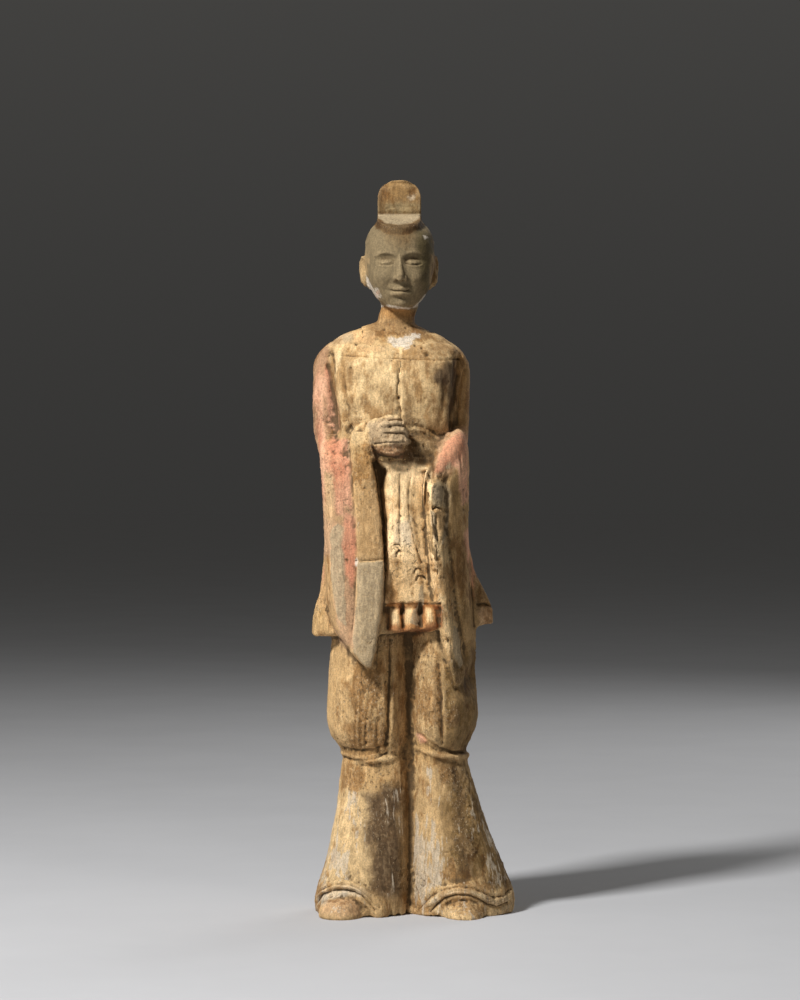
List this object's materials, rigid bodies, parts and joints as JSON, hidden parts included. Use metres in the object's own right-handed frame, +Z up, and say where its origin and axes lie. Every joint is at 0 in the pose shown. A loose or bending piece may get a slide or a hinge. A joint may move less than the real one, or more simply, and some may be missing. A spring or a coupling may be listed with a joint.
{
  "type": "standing pottery official figure",
  "caption": "Standing painted pottery official in a small cap, a wide-sleeved coat and trousers tied below the knees, hands clasped at the waist.",
  "frame": {"origin": "centre of the bounding box of the footprint, on the floor", "axes": "+Z up along the standing figure, which faces -Y; +X is the side on the right of someone facing it"},
  "size_m": [0.1558, 0.0992, 0.5601],
  "materials": {
    "painted_pottery": "unglazed fired clay with worn matt paint"
  },
  "bodies": {
    "root": {"official_figure": "painted_pottery"}
  },
  "joints": []
}
